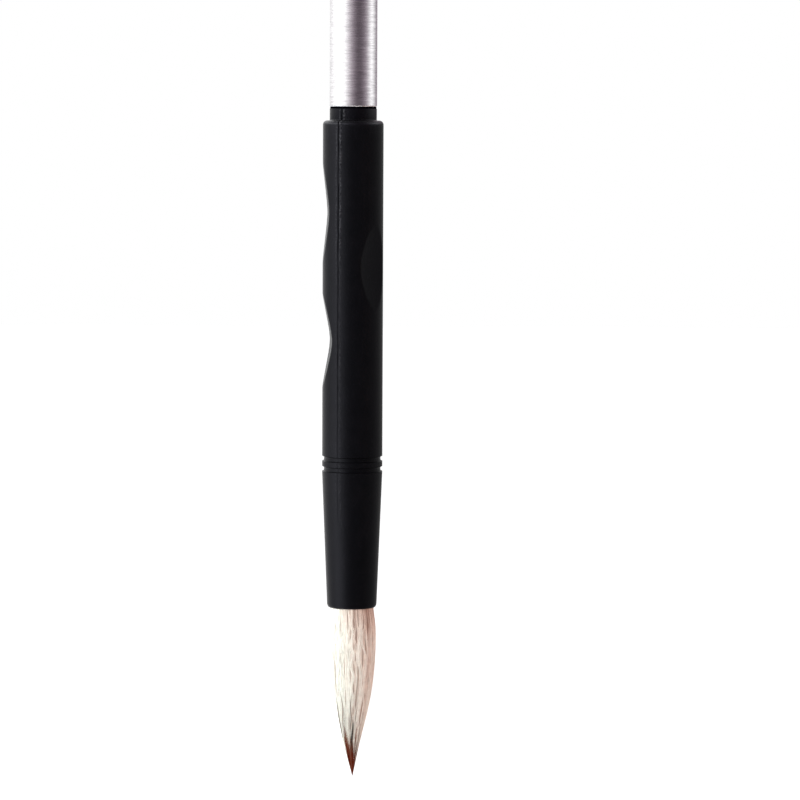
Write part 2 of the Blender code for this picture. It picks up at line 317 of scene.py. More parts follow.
def valley_radius(turn, z, finger):
    """How far out the grip reaches at an angle and height, inside one recess."""
    azimuth, below, depth, half_length, floor_round = finger
    off = off_angle(turn, azimuth)
    rise = z - (SHOULDER_Z - below)
    slope = np.sqrt(depth**2 + 2 * depth * floor_round) / half_length
    flank = np.sqrt(floor_round**2 + (slope * rise) ** 2) - floor_round
    reach = np.full(np.broadcast(off, rise).shape, grip_radius)
    for _ in range(ROUNDS):
        across = reach * np.sin(off)
        hollow = FINGER_HOLLOW - np.sqrt(FINGER_HOLLOW**2 - across**2)
        reach = (grip_radius - depth + hollow + flank) / np.maximum(np.cos(off), 0.2)
        reach = np.clip(reach, 0.5 * grip_radius, NO_RECESS)
    return np.where(np.abs(off) < FINGER_SPAN, reach, NO_RECESS)


def soft_min(a, b, roll):
    blend = np.clip(0.5 + 0.5 * (b - a) / roll, 0.0, 1.0)
    return b + (a - b) * blend - roll * blend * (1 - blend)


def press_fingers(radius, turn, z):
    for finger in FINGERS:
        radius = soft_min(radius, valley_radius(turn, z, finger), EDGE_ROLL)
    return radius


print("recesses, depth in mm:", [round(finger[2] / MM, 1) for finger in FINGERS])

# %% [markdown]
# Where the two halves of the mould met, a witness line runs down the grip, front left and
# back right: a fine nick, with the trimmed remains of the flash beside it. Nothing about it
# is even, so it needs values that vary smoothly at random along the height.

# %% Uneven values


def ease(value, low, high):
    """0 below low, 1 above high, and a smooth step between."""
    t = np.clip((value - low) / (high - low), 0.0, 1.0)
    return t * t * (3 - 2 * t)


def bell(distance, width):
    return np.exp(-((distance / width) ** 2))


def uneven(z, pitch, seed):
    """Smooth random values from 0 to 1 along the height, with a new one at every pitch."""
    count = int((spigot_top_z - tip_z) / pitch) + 2
    knots = np.random.default_rng(seed).uniform(0, 1, count)
    place = (z - tip_z) / pitch
    low = np.clip(np.floor(place).astype(int), 0, count - 2)
    share = ease(place - low, 0.0, 1.0)
    return knots[low] * (1 - share) + knots[low + 1] * share


def weaker(z, least, start, end):
    """1 near the shoulder, and least further down. Start and end are depths below it."""
    return least + (1 - least) * ease(z, SHOULDER_Z - end, SHOULDER_Z - start)


# %% [markdown]
# The knife that trimmed the flash scuffed the plastic a little, and the flash and the nick's far
# edge catch light, so the seam's rule also gives how pale each place is painted, for scuffs and a
# painted highlight, for the finish to read. The line is stronger near the shoulder and fades on the
# taper. The spigot inside the tube has crush ribs, which grip the metal.

# %% Mould seam and crush ribs
SEAM_AZIMUTHS = (242.0, 62.0)
SEAM_NICK = 0.00025  # depth of the nick along the seam
NICK_WIDTH = 0.00012
SEAM_FLASH = 0.00007  # height of what is left of the flash beside it
FLASH_WIDTH = 0.00025
SEAM_APART = 0.00058  # from the nick to the flash
SEAM_WANDER = 0.00014  # how far the line strays from straight, from one side to the other
SCUFF_HIGHLIGHT_WIDTH = 0.00028
FAR_HIGHLIGHT = 0.00064  # from the nick to the thin painted highlight on its other side
FAR_HIGHLIGHT_WIDTH = 0.00017
SEAM_FADES_Z = mouth_z + 0.0225
SEAM_FADE = 0.004  # half the length over which it fades
RIB_COUNT = 6
RIB_HEIGHT = 0.00035
RIB_HALF_WIDTH = 0.00045
RIB_TOP_Z = spigot_top_z - 0.0022
RIB_LEAD = 0.0008  # how gently a rib starts


def seam(radius, turn, z):
    """The seam's height above the plain surface, and how pale the plastic is painted there, for
    scuffs and a painted highlight.
    """
    fade = ease(z, SEAM_FADES_Z - SEAM_FADE, SEAM_FADES_Z + SEAM_FADE)
    fade = fade * weaker(z, 0.62, 0.030, 0.050)
    beads = 0.15 + 2.2 * uneven(z, 0.0009, 3) ** 2 * (0.5 + 0.8 * uneven(z, 0.0034, 4))
    nick = (0.38 + 0.56 * uneven(z, 0.0012, 5)) * weaker(z, 0.45, 0.060, 0.090)
    worn = weaker(z, 0.34, 0.018, 0.045)
    height = np.zeros(np.broadcast(turn, z).shape)
    scuff_and_highlight = np.zeros_like(height)
    for azimuth in SEAM_AZIMUTHS:
        side = off_angle(turn, azimuth) * radius + SEAM_WANDER * (uneven(z, 0.0017, 6) - 0.5)
        height += SEAM_FLASH * beads * worn * bell(side - SEAM_APART, FLASH_WIDTH)
        height -= SEAM_NICK * nick * bell(side, NICK_WIDTH)
        # beside the flash: scuffs and a painted highlight; on the nick's other edge: a thin painted
        # highlight
        near = bell(side - SEAM_APART, SCUFF_HIGHLIGHT_WIDTH) * (side > 0.5 * NICK_WIDTH)
        scuff_and_highlight += (0.5 + 0.6 * beads) * near + 0.65 * bell(side + FAR_HIGHLIGHT, FAR_HIGHLIGHT_WIDTH)
    return fade * height, fade * worn * scuff_and_highlight


def crush_ribs(radius, turn, z):
    pitch = 2 * np.pi / RIB_COUNT
    off = (turn + pitch / 2) % pitch - pitch / 2
    across = ease(RIB_HALF_WIDTH * 1.25 - np.abs(off * radius), 0.0, RIB_HALF_WIDTH * 0.5)
    return RIB_HEIGHT * across * ease(RIB_TOP_Z - z, 0.0, RIB_LEAD)


print(f"seams at {SEAM_AZIMUTHS} degrees, {RIB_COUNT} ribs")

# %% [markdown]
# The moulding is then a grid. Its rows run up the bore, down the outside from the spigot's
# end to the mouth, and up inside the hair socket, and every row goes once round. Each run of
# rows has a kind, which says what the rules do to it.

# %% Rows of the moulding
SHOULDER_ROUND = 0.00115
TAPER_Z = mouth_z + 0.03525
GROOVE_START = 0.0002  # from the taper's upper end to the lower groove
GROOVE_WIDTH = 0.0013
GROOVE_DEPTH = 0.0005
GROOVE_PITCH = 0.00265
MOUTH_RADIUS = 0.00645
LIP_WALL = 0.0006
LIP_ROUND = 0.00056
LIP_STRETCH = 2.1  # how much taller than wide the lip's rounding is
SOCKET_WALL = MOUTH_RADIUS - LIP_WALL
SOCKET_DRAFT = 0.0003  # how much narrower the socket is at its ledge
LEDGE_Z = mouth_z + 0.018
CORE_HOLE = 0.0030
CORE_FLOOR_Z = LEDGE_Z + 0.0095
BORE_FLOOR_Z = CORE_FLOOR_Z + 0.0030
NECK_RADIUS = tube_radius - 0.00005
NECK_TOP_Z = rim_z - GAP
NECK_EDGE = 0.00004
NECK_FOOT = 0.0002  # rounding in the corner between neck and shoulder
TUBE_WALL = 0.0008
BORE_CLEAR = 0.00012  # left between the tube's bore and what goes into it
SPIGOT_RADIUS = tube_radius - TUBE_WALL - BORE_CLEAR - RIB_HEIGHT
SPIGOT_LEAD = 0.0006  # chamfer on the spigot's end
BORE_RADIUS = SPIGOT_RADIUS - 0.0015
BORE_EDGE = 0.0002
RIM_LIFT = 0.00025  # the tube's lower rim stops this much short of the frame's
SEAT_Z = rim_z + RIM_LIFT - 0.00003  # a low step that the tube's rim comes down on
SEAT_RADIUS = tube_radius - 0.00016
SHARP = 0.00002  # the width of an edge that looks sharp


def grooved(z):
    """Depth of the two ring grooves at a height, with rolled edges and round floors."""
    first = TAPER_Z + GROOVE_START + GROOVE_WIDTH / 2
    depth = np.zeros_like(z)
    for middle in (first, first + GROOVE_PITCH):
        off = np.abs(z - middle) / (GROOVE_WIDTH / 2)
        bowl = np.sqrt(np.clip(1 - np.clip(off, 0, 1) ** 2.6, 0, 1))
        depth = np.maximum(depth, GROOVE_DEPTH * bowl)
    return depth


def straight(radius, top, foot, count):
    return [(radius, z) for z in np.linspace(top, foot, count)]


shoulder_middle = (grip_radius - SHOULDER_ROUND, SHOULDER_Z - SHOULDER_ROUND)
groove_top = TAPER_Z + GROOVE_START + GROOVE_WIDTH + GROOVE_PITCH + 0.0003
groove_z = np.linspace(groove_top - 0.00004, TAPER_Z, 92)
lip_top = mouth_z + LIP_STRETCH * LIP_ROUND
taper_z = np.linspace(TAPER_Z - 0.0004, lip_top + 0.0002, 84)
taper_slope = (grip_radius - MOUTH_RADIUS) / (TAPER_Z - lip_top)
lip = arc((MOUTH_RADIUS - LIP_ROUND, 0.0), LIP_ROUND, 0, -90, 9)
RUNS = (
    ("plain", [(BORE_RADIUS - BORE_EDGE, BORE_FLOOR_Z), (BORE_RADIUS, spigot_top_z - BORE_EDGE),
               (BORE_RADIUS + BORE_EDGE, spigot_top_z)]),
    ("plain", [(SPIGOT_RADIUS - SPIGOT_LEAD, spigot_top_z)]),
    ("spigot", straight(SPIGOT_RADIUS, spigot_top_z - SPIGOT_LEAD, SEAT_Z + SHARP, 34)),
    ("plain", [(SEAT_RADIUS, SEAT_Z), (SEAT_RADIUS, NECK_TOP_Z)]),
    ("neck", arc((NECK_RADIUS - NECK_EDGE, NECK_TOP_Z - NECK_EDGE), NECK_EDGE, 90, 0, 4)),
    ("neck", straight(NECK_RADIUS, NECK_TOP_Z - 0.0006, SHOULDER_Z + 0.0003, 5)),
    ("neck", arc((NECK_RADIUS + NECK_FOOT, SHOULDER_Z + NECK_FOOT), NECK_FOOT, 180, 270, 4)),
    ("neck", arc(shoulder_middle, SHOULDER_ROUND, 90, 0, 12)),
    ("sleeve", straight(grip_radius, shoulder_middle[1] - 0.0003, groove_top, 205)),
    ("sleeve", zip(grip_radius - grooved(groove_z), groove_z)),
    ("taper", zip(MOUTH_RADIUS + taper_slope * (taper_z - lip_top), taper_z)),
    ("plain", [(r, lip_top + LIP_STRETCH * z) for r, z in lip]),
    ("plain", [(SOCKET_WALL + SHARP, mouth_z), (SOCKET_WALL, mouth_z + SHARP),
               (SOCKET_WALL - SOCKET_DRAFT, LEDGE_Z), (CORE_HOLE, LEDGE_Z),
               (CORE_HOLE, CORE_FLOOR_Z)]),
)
rows = [(r, z, kind) for kind, points in RUNS for r, z in points]
print(len(rows), "rows")

# %% [markdown]
# Columns are set closer together at the seams, so that such a thin line is still round and
# smooth. Then the rules go over the grid: fingers press into the sleeve, the seam runs over
# all that was moulded in the two halves, and ribs stand on the spigot.

# %% Grid of the moulding
COLUMNS = np.linspace(0, 360, 150, endpoint=False)
# columns near a seam, in degrees from it
SEAM_COLUMNS = np.concatenate([
    np.linspace(-6.5, -2.3, 8), np.linspace(-2.0, 2.0, 17), np.linspace(2.3, 7.4, 13)])

angles = list(COLUMNS)
for azimuth in SEAM_AZIMUTHS:
    angles = [angle for angle in angles if not -7.0 < angle - azimuth < 8.0]
    angles += list(azimuth + SEAM_COLUMNS)
turns = np.radians(np.sort(angles))[None, :]
row_radius, row_z, kinds = (np.array(column)[:, None] for column in zip(*rows))
shape = row_radius + 0 * turns
shape = np.where(kinds == "sleeve", press_fingers(shape, turns, row_z), shape)
moulded = np.isin(kinds, ("neck", "sleeve", "taper"))
seam_height, seam_scuff_and_highlight = seam(row_radius, turns, row_z)
shape = shape + np.where(moulded, seam_height, 0.0)
shape = shape + np.where(kinds == "spigot", crush_ribs(row_radius, turns, row_z), 0.0)
grid = around(shape, turns, row_z)
print("grip grid:", grid.shape[:2], "rows and columns")

# %% [markdown]
# The grid's two ends are closed, each with a fan to a point on the axis. The grip replaces
# the frame's node of the same shape, whose recesses have hard edges.

# %% Grip piece
row_count, column_count = grid.shape[:2]
on_axis = row_count * column_count  # two points on the axis come after the grid's own
last_row = on_axis - column_count
faces = grid_faces(row_count, column_count).tolist()
for one in range(column_count):
    two = (one + 1) % column_count
    faces += [[one, two, on_axis], [last_row + two, last_row + one, on_axis + 1]]
floors = [(0.0, 0.0, BORE_FLOOR_Z), (0.0, 0.0, CORE_FLOOR_Z)]
grip = add_mesh("grip_moulding", np.vstack([grid.reshape(-1, 3), floors]), faces)
store(grip, "scuff_and_highlight", np.append(np.where(moulded, seam_scuff_and_highlight, 0.0), (0.0, 0.0)))
report(smooth(grip, 50))

# %% [markdown]
# The plastic is a dense black with a fine matt grain from the mould's etched surface. The
# bump is two noises: the grain itself, and a slower swell, as in any moulding that has
# shrunk a little. The roughness varies with the grain, so highlights break up softly.

# %% Black moulding finish


def black_plastic(name, roughness, sheen=0.3):
    finish = Finish(name, (0.0017, 0.0017, 0.0025), roughness)
    patches = finish.noise(260, 3.0)
    colour = finish.ramp(patches, (0.3, (0.0012, 0.0013, 0.0020)), (0.75, (0.0022, 0.0021, 0.0031)))
    # Along the seams the colour turns pale grey in specks, for scuffs and a painted highlight on
    # the flash.
    specks = finish.ramp(finish.noise(2300, 1.5), (0.42, 0.0), (0.60, 1.0))
    share = finish.maths("MULTIPLY", finish.attribute("scuff_and_highlight"), specks)
    colour = finish.mix(share, colour, (0.032, 0.032, 0.036, 1.0))
    finish.to("Base Color", colour)
    grain = finish.noise(5200, 3.0, roughness=0.6)
    finish.to("Roughness", finish.spread(grain, roughness - 0.09, roughness + 0.09))
    swell = finish.bump(finish.noise(1900, 3.0), 0.00006, 0.55)
    finish.to("Normal", finish.bump(grain, 0.00003, 0.6, under=swell))
    finish.to("Specular IOR Level", sheen)
    finish.to("Specular Tint", (0.86, 0.87, 1.0, 1.0))
    return finish.material


# The neck's copy of the black has less shine, as painted shade where a hand would shade the neck,
# and the seat's copy has none, as painted shadow under the tube's rim.
for name, roughness, sheen in (("grip_black", 0.34, 0.3), ("neck_black_painted_shade", 0.36, 0.13),
                               ("seat_black_painted_shadow", 0.60, 0.0)):
    grip.data.materials.append(black_plastic(name, roughness, sheen))
for face in grip.data.polygons:
    height = face.center.z
    if face.center.xy.length > NECK_RADIUS - 0.0009 and height < SEAT_Z + 0.0001:
        face.material_index = int(height > SHOULDER_Z + 0.0001) + int(height > NECK_TOP_Z)
print("blacks:", [material.name for material in grip.data.materials])
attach(grip, "grip")
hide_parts("grip_body")

# %% [markdown]
# ## Handle tube
#
# The tube is drawn aluminium, turned to a satin finish on a lathe, so its grain runs round it. Its
# two rims have a small bright chamfer. The lower rim stands a hair's breadth above the grip's neck,
# over a narrow seat that is given no shine at all, as painted shadow: the black line between metal
# and plastic.

# %% Tube and its rims
CHAMFER = 0.0002
BREAK = 0.00004
bore = tube_radius - TUBE_WALL


def rim(z, way):
    """The chamfered end of the tube, from its outside to its bore. Way is +1 for the top."""
    outer = [
        (tube_radius, z - way * (CHAMFER + BREAK)),
        (tube_radius - BREAK * 0.3, z - way * CHAMFER),
        (tube_radius - CHAMFER, z - way * BREAK * 0.3),
        (tube_radius - CHAMFER - BREAK, z),
        (bore + BREAK, z),
        (bore, z - way * BREAK),
    ]
    return outer if way < 0 else outer[::-1]


tube = lathe("satin_tube", rim(tube_top_z, 1) + rim(rim_z + RIM_LIFT, -1), 160)
smooth(tube, 24)
report(tube)

# %% [markdown]
# Turned metal reflects in long streaks across its grain, as the shader's anisotropic part
# does with its tangent laid along the axis. The grain itself is fine rings of bump, from a
# noise that is squeezed along the axis.

# %% Satin aluminium finish


def satin_aluminium(name):
    finish = Finish(name, (0.80, 0.775, 0.81), 0.27, metallic=1.0)
    rings = finish.noise(1.0, 4.0, finish.stretch((280, 280, 3000)), roughness=0.75)
    broad = finish.noise(1.0, 2.0, finish.stretch((12, 12, 700)))
    colour = finish.ramp(rings, (0.36, (0.62, 0.605, 0.62)), (0.64, (0.94, 0.925, 0.94)))
    finish.to("Base Color", colour)
    finish.to("Roughness", finish.spread(broad, 0.22, 0.32))
    finish.to("Anisotropic", 0.3)
    finish.to("Anisotropic Rotation", 0.25)
    tangent = finish.add("ShaderNodeTangent", "Tangent", direction_type="RADIAL", axis="Z")
    finish.to("Tangent", tangent)
    finish.to("Normal", finish.bump(rings, 0.000009, 0.6))
    return finish.material


def cut_aluminium(name):
    finish = Finish(name, (0.86, 0.86, 0.87), 0.5, metallic=0.35)
    marks = finish.noise(1.0, 3.0, finish.stretch((400, 400, 9000)))
    colour = finish.ramp(marks, (0.3, (0.78, 0.80, 0.85)), (0.7, (0.82, 0.84, 0.89)))
    finish.to("Base Color", colour)
    finish.to("Roughness", finish.spread(marks, 0.48, 0.54))
    return finish.material


tube.data.materials.append(satin_aluminium("turned_aluminium"))
tube.data.materials.append(cut_aluminium("cut_aluminium"))
for face in tube.data.polygons:
    chamfered = face.center.xy.length > bore + 0.5 * TUBE_WALL and abs(face.normal.z) > 0.5
    face.material_index = int(chamfered and abs(face.normal.z) < 0.9)
print("chamfer faces:", sum(face.material_index for face in tube.data.polygons))
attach(tube, "handle")
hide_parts("handle_tube")

# %% [markdown]
# ## Tail plug
#
# The plug closes the tube's upper end. Its head is flush with the tube, with a rounded edge
# and a small hole for a cord.

# %% Tail plug
PLUG_ROUND = 0.0005
CORD_HOLE = 0.0012
insert = bore - BORE_CLEAR
head_z = tube_top_z + 0.00004
plug_profile = [(CORD_HOLE + 0.0002, tail_z)]
plug_profile += arc((tube_radius - PLUG_ROUND, tail_z - PLUG_ROUND), PLUG_ROUND, 90, 0, 8)
plug_profile += [(tube_radius, head_z), (insert, head_z)]
plug_profile += arc((insert - 0.0004, plug_foot_z + 0.0004), 0.0004, 0, -90, 4)
plug_profile += [(CORD_HOLE, plug_foot_z), (CORD_HOLE, tail_z - 0.0002)]
plug = report(smooth(lathe("tail_cap", plug_profile, 128), 35))
plug.data.materials.append(black_plastic("plug_black", 0.32))
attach(plug, "handle")
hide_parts("tail_plug")

# %% [markdown]
# ## The tuft's outline
#
# The hair leaves the mouth, swells slightly, and closes in a long curve to its point. Two
# Bezier curves give that outline. Hair is never quite even, so the bundle also stands a
# little to the right at its belly, comes back further down, and its tip turns right again.

# %% Outline of the tuft
MOUTH_HAIR = MOUTH_RADIUS - LIP_WALL - GAP
SWELL = 0.00035
SWELL_DEPTH = 0.0085
FULL_REACH = 0.013  # how far the full part carries on below the belly
POINT_REACH = 0.013
POINT_SLOPE = 0.24  # radius gained for each length, just above the tip
ROOT_DRAWN = 0.8  # how far the thread draws the roots in


def bezier(p0, p1, p2, p3, steps):
    t = np.linspace(0, 1, steps)[:, None]
    points = [np.array(p, float) for p in (p0, p1, p2, p3)]
    weights = ((1 - t) ** 3, 3 * (1 - t) ** 2 * t, 3 * (1 - t) * t**2, t**3)
    return sum(w * p for w, p in zip(weights, points))


belly_radius = MOUTH_HAIR + SWELL
upper = bezier(
    (0.0, MOUTH_HAIR), (SWELL_DEPTH * 0.3, MOUTH_HAIR + SWELL * 0.5),
    (SWELL_DEPTH * 0.66, belly_radius), (SWELL_DEPTH, belly_radius), 30,
)
lower = bezier(
    (SWELL_DEPTH, belly_radius), (SWELL_DEPTH + FULL_REACH, belly_radius),
    (tuft_length - POINT_REACH, POINT_REACH * POINT_SLOPE), (tuft_length, 0.0), 120,
)
socket_part = np.array([(mouth_z - root_z, MOUTH_HAIR * ROOT_DRAWN), (-0.008, MOUTH_HAIR)])
outline = np.vstack([socket_part, upper, lower[1:]])
print(f"tuft: {2000 * MOUTH_HAIR:.1f} mm across in the mouth, {2000 * belly_radius:.1f} at most")


def tuft_radius(depth):
    """The tuft's radius at a depth below the mouth. The socket's part has negative depths."""
    return np.interp(depth, outline[:, 0], outline[:, 1])


# how far the tuft's middle moves to the right, and between which depths below the mouth
SHIFTS = (
    (0.00038, -0.001, 0.006),
    (-0.00033, 0.48 * tuft_length, 0.80 * tuft_length),
    (0.00023, 0.80 * tuft_length, tuft_length),
)


def sideways(depth):
    """How far the tuft's middle stands to the right at a depth below the mouth."""
    return sum(shift * ease(depth, start, end) for shift, start, end in SHIFTS)


# %% [markdown]
# ## How hair lies
#
# In a dry brush the hairs gather into locks, each lock is made of a few strands, and locks
# and strands wander a little from side to side as they run down. That gives the tuft its
# wavy, wood-like grain. So a hair's place is worked out in steps: where its lock is at that
# depth, where its strand is within the lock, and where the hair is within the strand. Hairs
# draw together on the way down, so gaps open between the strands.

# %% Locks and strands
rng = np.random.default_rng(11)
white_length = mouth_z - white_end_z
STRANDS = 3  # strands in each lock
DRAWN_END = 0.06  # how much closer together a lock's strands are at its end


def waves(count, size, lengths):
    """Sideways swings for each of a number of locks or strands: size, length and phase."""
    return np.stack([
        rng.normal(0, size, count),
        rng.uniform(*lengths, count),
        rng.uniform(0, 2 * np.pi, count),
    ], axis=-1)


def swing(wave, depth):
    size, length, phase = (wave[:, i, None] for i in range(3))
    return size * np.sin(2 * np.pi * depth / length + phase)


def make_locks(count):
    """Locks round the tuft, unevenly wide, with their strands and how each one wanders."""
    width = rng.uniform(0.6, 1.5, count)
    edge = np.concatenate([[0], np.cumsum(width)]) / width.sum() * 2 * np.pi
    return {
        "turn": (edge[:-1] + edge[1:]) / 2,
        "half": np.diff(edge) / 2,
        "slow": waves(count, 0.00034, (0.014, 0.030)),
        "quick": waves(count, 0.00029, (0.0055, 0.011)),
        "strand": waves(count * STRANDS, 0.00020, (0.0040, 0.0085)),
        "reach": rng.normal(0, 1, count),
        "tone": rng.normal(0, 1, count),
        "strand_tone": rng.normal(0, 1, count * STRANDS),
        "strand_reach": rng.normal(0, 1, count * STRANDS),
    }


def lay_hairs(locks, lock, strand, within, depth, gather, follow):
    """Angle round the tuft of each hair at each depth, from its lock, strand and place in it.
    Gather is how close the hairs are at the mouth and at the end, and follow is how far they
    swing with their lock, from 0 to 1."""
    share = ease(depth, 0.0, white_length)
    wander = swing(locks["slow"][lock], depth) + swing(locks["quick"][lock], depth)
    wander = wander + swing(locks["strand"][lock * STRANDS + strand], depth)
    wander = follow * wander * ease(depth, -0.006, 0.010) / belly_radius
    place = (2 * strand + 1 - STRANDS)[:, None] / STRANDS * (1 - DRAWN_END * share)
    closeness = gather[0] + (gather[1] - gather[0]) * share
    inner = within[:, None] / STRANDS * closeness
    return locks["turn"][lock][:, None] + locks["half"][lock][:, None] * (place + inner) + wander


print(f"white hair {white_length / MM:.1f} mm long")

# %% [markdown]
# ## Making hairs from arrays
#
# Each hair is a thin three-sided tube that narrows to its end. All the hairs of a layer are
# made at once, as one array of hairs, rings and corners, which is far quicker than a loop.
# Each point keeps the hair's tone there, from dark to pale, for the finish to read.

# %% Hair maker
SIDES = 3


def make_hairs(name, angle, radius, depth, girth, tones):
    """Wrap a thin tube round each hair's path. Tones are for each hair and point."""
    hairs, points = angle.shape
    centre = around(radius, angle, mouth_z - depth)
    centre[..., 0] += sideways(depth)
    out = around(1.0, angle, 0.0)[:, :, None, :]
    across = around(1.0, angle + np.pi / 2, 0.0)[:, :, None, :]
    side = np.arange(SIDES)
    corner = (side * 2 * np.pi / SIDES)[:, None]
    ring = np.cos(corner) * out + np.sin(corner) * across
    ring = centre[:, :, None, :] + girth[:, :, None, None] * ring
    root = np.arange(hairs)[:, None] * points * SIDES
    walls = grid_faces(points, SIDES)[None, :, ::-1] + root[:, :, None]
    ends = np.stack([root + side, root + (points - 1) * SIDES + side[::-1]], axis=1)
    faces = walls.reshape(-1, 4).tolist() + ends.reshape(-1, SIDES).tolist()
    obj = add_mesh(name, ring, faces)
    store(obj, "tone", np.repeat(np.clip(tones + 0 * angle, 0, 1).reshape(-1), SIDES))
    obj.data.shade_smooth()
    return report(obj)


# %% [markdown]
# ## White outer hair
#
# No two brushes have the same locks. This one's are drawn at random, and then some are made paler
# or darker, or end sooner or later, so that the tuft shows its pale left side, its darker middle
# and the steps in which the white hair ends over the brown. The paler locks on the left, on the
# lamp's side, are painted light.

# %% Locks of the white hair
WHITE_LOCKS = make_locks(42)
LOCK_SPREAD = 8.0  # degrees over which such a change fades
# azimuth in degrees, and the change
# the large changes to paler, from 214 to 246 degrees, are painted light on the lamp's side
PALE_AND_DARK = (
    (214.0, 2.0), (230.0, 2.3), (246.0, 2.5), (264.0, -1.2), (277.0, -0.9), (292.0, 1.7),
    (311.0, 0.2), (112.0, 1.0), (40.0, -0.8),
)
LONG_AND_SHORT = (
    (190.0, 2.0), (208.0, 3.6), (232.0, -2.3), (252.0, -1.4), (277.0, -1.4), (292.0, -0.3),
    (326.0, -1.4),
)
for label, changes in (("tone", PALE_AND_DARK), ("reach", LONG_AND_SHORT)):
    for azimuth, change in changes:
        away = np.degrees(WHITE_LOCKS["turn"]) - azimuth
        WHITE_LOCKS[label] += change * bell(away, LOCK_SPREAD)
print(len(WHITE_LOCKS["turn"]), "locks of", STRANDS, "strands")

# %% [markdown]
# Three layers of white hair lie over each other. The deepest is darkest, since less light gets
# there, and shows as thin lines between the top one's strands. Just below the mouth the hair is
# painted darker, as the shade of the mouth's lip, and most of all on the right.

# %% White hair
HIDDEN_ROOT = 0.0035  # how far up in the socket a white hair starts
# how much the ends vary by lock, by strand and by hair, and how far a few hairs stick out
LOCK_ENDS, STRAND_ENDS, HAIR_ENDS, STRAY_ENDS = 0.0011, 0.0007, 0.0006, 0.0007
LATER, LATER_RIGHT = 0.0012, 0.0034  # how far down it ends, and how much further on the right
LATEST = 0.35  # azimuth in radians where it ends lowest
# how much the tone varies by lock, by strand and by hair
LOCK_TONE, STRAND_TONE, HAIR_TONE = 0.13, 0.10, 0.09
ROUNDING = 0.00012  # how much lower a strand's outer hairs lie than its middle ones
RUFFLE = 0.00007  # how unevenly hairs lie over one another
# the next darkening is painted shade, for the gaps between locks
EDGE_DARK = 0.34  # how much darker in tone a lock's edges are
MOUTH_PAINTED_SHADE = 0.57  # how much darker in tone the hair is just below the mouth
MOUTH_SHADE_LENGTH = 0.010
SHADIEST = np.radians(318)
# painted light: the lower half faces down, away from the lamps, and is made paler to make up for it
PALER_BELOW = 0.16  # how much paler in tone the hair is in its lower half


def white_layer(name, count, sink, gather, follow, longer, tone, girth, slim, points=21):
    locks = WHITE_LOCKS
    lock = rng.choice(len(locks["half"]), count, p=locks["half"] / locks["half"].sum())
    strand = rng.integers(0, STRANDS, count)
    within = rng.triangular(-1, 0, 1, count) * 1.25
    each = lock * STRANDS + strand
    turn = locks["turn"][lock]
    end = white_length + longer + LOCK_ENDS * locks["reach"][lock]
    end = end + STRAND_ENDS * locks["strand_reach"][each] + rng.normal(0, HAIR_ENDS, count)
    end = end + LATER + LATER_RIGHT * np.cos(turn - LATEST) + rng.exponential(STRAY_ENDS, count)
    along = np.linspace(0, 1, points)
    depth = (end[:, None] + HIDDEN_ROOT) * along - HIDDEN_ROOT
    angle = lay_hairs(locks, lock, strand, within, depth, gather, follow)
    place = 2 * strand + 1 - STRANDS
    below = sink[0] + sink[1] * (place / STRANDS) ** 2 + ROUNDING * within**2
    below = below + rng.uniform(0, RUFFLE, count)
    settle = 0.35 + 0.65 * ease(depth, -0.001, 0.009)
    swell = tuft_radius(depth) / belly_radius
    radius = tuft_radius(depth) - below[:, None] * settle * swell
    thick = rng.uniform(*girth, count)[:, None] * (1.03 - along**3.5)
    thick = thick * (slim + (1 - slim) * swell)
    tones = tone + LOCK_TONE * locks["tone"][lock] + STRAND_TONE * locks["strand_tone"][each]
    # hairs at a strand's sides and at a lock's edges are painted darker, as shade between them
    tones = tones + rng.normal(0, HAIR_TONE, count) - 0.10 * within**2
    tones = tones - EDGE_DARK * ease(np.abs(place + within) / STRANDS, 0.74, 1.02)
    # painted shade of the mouth's lip on the hair just below it, most on the right
    mouth_shade = MOUTH_PAINTED_SHADE * (0.5 + 0.5 * np.cos(turn - SHADIEST)) ** 1.5
    tones = tones[:, None] - mouth_shade[:, None] * (1 - ease(depth, 0.0, MOUTH_SHADE_LENGTH))
    tones = tones + PALER_BELOW * ease(depth, 0.45 * white_length, 0.75 * white_length)
    return make_hairs(name, angle, radius, depth, thick, tones)


# name, how many hairs, how far below the outline they lie and how much further at lock edges,
# gather, follow, how much longer they are, tone, girth from thin to thick, and what share of
# its girth a hair keeps where the tuft closes
WHITE_LAYERS = (
    ("white_hair_deep", 1150, (0.00022, 0.00003), (1.0, 1.0), 0.1, 0.0004, 0.56,
     (0.000055, 0.000085), 0.2),
    ("white_hair_mid", 1500, (0.00011, 0.00004), (1.0, 0.96), 0.6, 0.0, 0.64,
     (0.00004, 0.000065), 0.3),
    ("white_hair_top", 1600, (0.00001, 0.00008), (0.98, 0.80), 1.0, -0.0006, 0.84,
     (0.00003, 0.00005), 0.6),
)
white_pieces = [white_layer(*layer) for layer in WHITE_LAYERS]

# %% [markdown]
# ## Brown point
#
# The brown hairs are stiffer. They run inside the white ones from the root, show between
# the locks near their ends, and alone make the last centimetre, closed tightly on the tip.
# The inner ones are a deep red brown, and the outer ones paler.

# %% Brown hair
PALER_AT_START = 0.4  # how much paler in tone a brown hair is where it comes out
COMES_OUT = (0.034, 0.0395)  # depths between which it does
BROWN_ENDS = 0.0011  # how much sooner than at the tip brown hairs end
BROWN_SWING = (0.00005, (0.008, 0.016))  # size, and the shortest and longest wave


